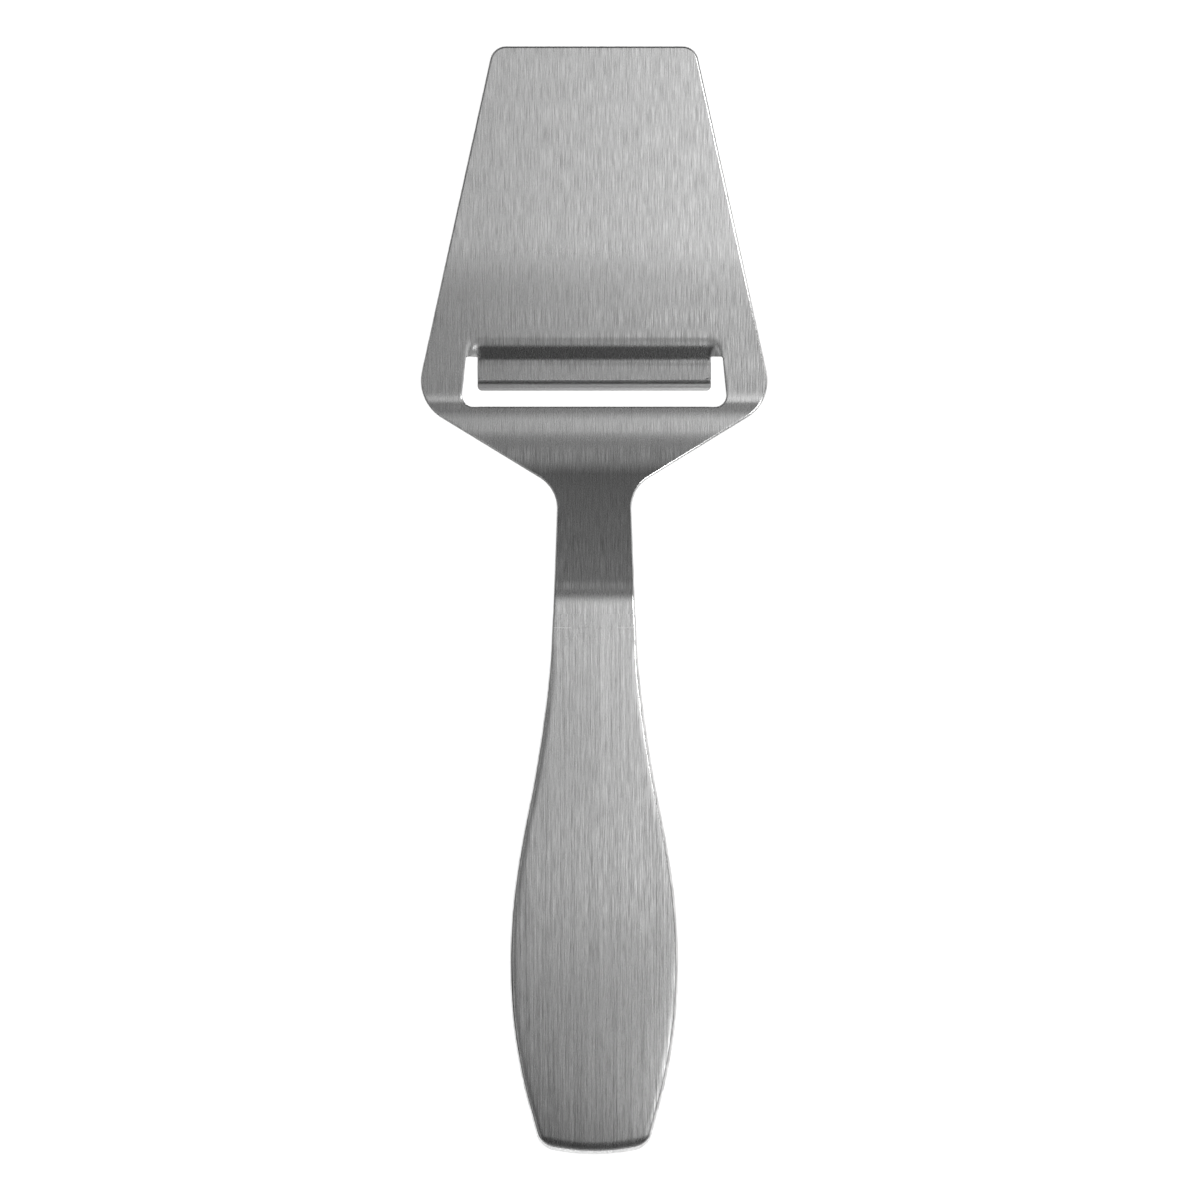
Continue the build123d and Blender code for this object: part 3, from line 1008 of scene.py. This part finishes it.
# The upper or the lower shell, a closed wall whose outer and inner faces meet at the seam and at the mouth.
# Nothing of it lies below the table.
def makeShell(height, sign):
    points, out, sideCount = handlePath()
    growth = np.clip((shellY - points[:, 1]) / (shellY - edgeGrownY), 0.0, 1.0)
    side = handle["mouthEdge"] + growth * (handle["sideEdge"] - handle["mouthEdge"])
    radius = side + (handle["endEdge"] - handle["sideEdge"]) * np.clip(-out[:, 1], 0.0, 1.0) ** 2
    seamZ = seamMiddle(points[:, 1]) + sign * handle["seam"] / 2
    level = np.column_stack([out, np.zeros(len(out))])
    verts, normals, rubs, faces, layers = [], [], [], [], []
    steps = meshStep["round"]
    for wall, facing in ((0.0, 1.0), (handle["wall"], -1.0)):
        turned = sign * facing > 0
        left = np.maximum(radius - wall, handle["innerEdge"])
        rings = []
        for k in range(steps + 2):
            angle = math.pi / 2 * (1 - min(k, steps) / steps)
            place = points - out * (radius - left * math.cos(angle))[:, None]
            surface = faceNormals(height, place[:, 0], place[:, 1]) * sign
            z = height(place[:, 0], place[:, 1]) - sign * (radius - left * math.sin(angle))
            z = np.maximum(z, wall) if k <= steps else seamZ
            normal = level * math.cos(angle) + surface * math.sin(angle)
            normal /= np.linalg.norm(normal, axis=1)[:, None]
            rings.append(range(len(verts), len(verts) + len(points)))
            verts.extend(map(tuple, np.column_stack([place, z])))
            normals.extend(map(tuple, normal * facing))
            rubs.extend([math.sin(2 * angle) if facing > 0 else 0.0] * len(points))
        grid = patchPlaces(np.array([verts[i][:2] for i in rings[0]]), sideCount)
        rows, columns = grid.shape[:2]
        index = np.zeros((rows, columns), int)
        index[:, 0] = rings[0][: sideCount + 1]
        index[:, -1] = rings[0][: len(points) - sideCount - 2 : -1]
        index[-1, :] = rings[0][sideCount : len(points) - sideCount]
        inner = grid[:-1, 1:-1].reshape(-1, 2)
        z = np.maximum(height(inner[:, 0], inner[:, 1]) - sign * wall, wall)
        index[:-1, 1:-1] = np.arange(len(verts), len(verts) + len(inner)).reshape(rows - 1, columns - 2)
        verts.extend(map(tuple, np.column_stack([inner, z])))
        normals.extend(map(tuple, faceNormals(height, inner[:, 0], inner[:, 1]) * sign * facing))
        rubs.extend([0.0] * len(inner))
        # the rows of the face, then the rings of its rounding down to the seam
        for strips in (index, rings):
            for above, below in zip(strips[:-1], strips[1:]):
                for i in range(len(above) - 1):
                    face = (above[i], below[i], below[i + 1], above[i + 1])
                    faces.append(face if turned else face[::-1])
        layers.append((rings, index))
    before = len(faces)
    (outer, _), (inner, _) = layers
    mouths = [
        [*(ring[0] for ring in rings[::-1]), *index[0, 1:-1], *(ring[-1] for ring in rings)]
        for rings, index in layers
    ]
    for a, b in ((outer[-1], inner[-1]), (mouths[1], mouths[0])):
        for i in range(len(a) - 1):
            face = (a[i], b[i], b[i + 1], a[i + 1])
            faces.append(face if sign > 0 else face[::-1])
    return verts, normals, rubs, faces, range(before, len(faces))


# The weld between the shells, a closed band round the handle's side
def makeSeam():
    points, out, _ = handlePath()
    middle, half = seamMiddle(points[:, 1]), handle["seam"] / 2
    verts, normals, lines = [], [], []
    wall = handle["wall"]
    for depth, lift, facing in ((0.0, half, 1), (0.0, -half, 1), (wall, -half, -1), (wall, half, -1)):
        lines.append(range(len(verts), len(verts) + len(points)))
        verts.extend(map(tuple, np.column_stack([points - out * depth, middle + lift])))
        normals.extend(map(tuple, np.column_stack([out * facing, np.zeros(len(out))])))
    faces = []
    for a, b in ((0, 1), (2, 3), (1, 2), (3, 0)):
        above, below = lines[a], lines[b]
        faces.extend((above[i], below[i], below[i + 1], above[i + 1]) for i in range(len(points) - 1))
    flatFaces = range(len(faces) // 2, len(faces) + 2)
    faces.append(tuple(line[0] for line in lines[::-1]))
    faces.append(tuple(line[-1] for line in lines))
    return verts, normals, [0.0] * len(verts), faces, flatFaces


handlePieces = [
    ("handleUpperShell", "handle_upper_shell", "handle_steel", handleSteel, makeShell(handleUpper, 1.0)),
    ("handleLowerShell", "handle_lower_shell", "handle_steel", handleSteel, makeShell(handleLower, -1.0)),
    ("handleSeamWeld", "handle_seam_weld", "weld_steel", weldSteel, makeSeam()),
]
for name, node, slot, steel, (verts, normals, rubs, faces, flatFaces) in handlePieces:
    piece = meshObject(name, verts, faces, [steel])
    setNormals(piece, normals, flatFaces)
    setMarks(piece, verts, rubs, lambda x, y: handleTop(y))
    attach(piece, "root")
    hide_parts(node)
print("handle made")

# The mouth weld and the plug welds keep their solids and get the steel
for name, steel in (("mouth_weld", weldSteel), ("tang_plug_welds", plugSteel)):
    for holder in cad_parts[name].material_slots:
        holder.material = steel
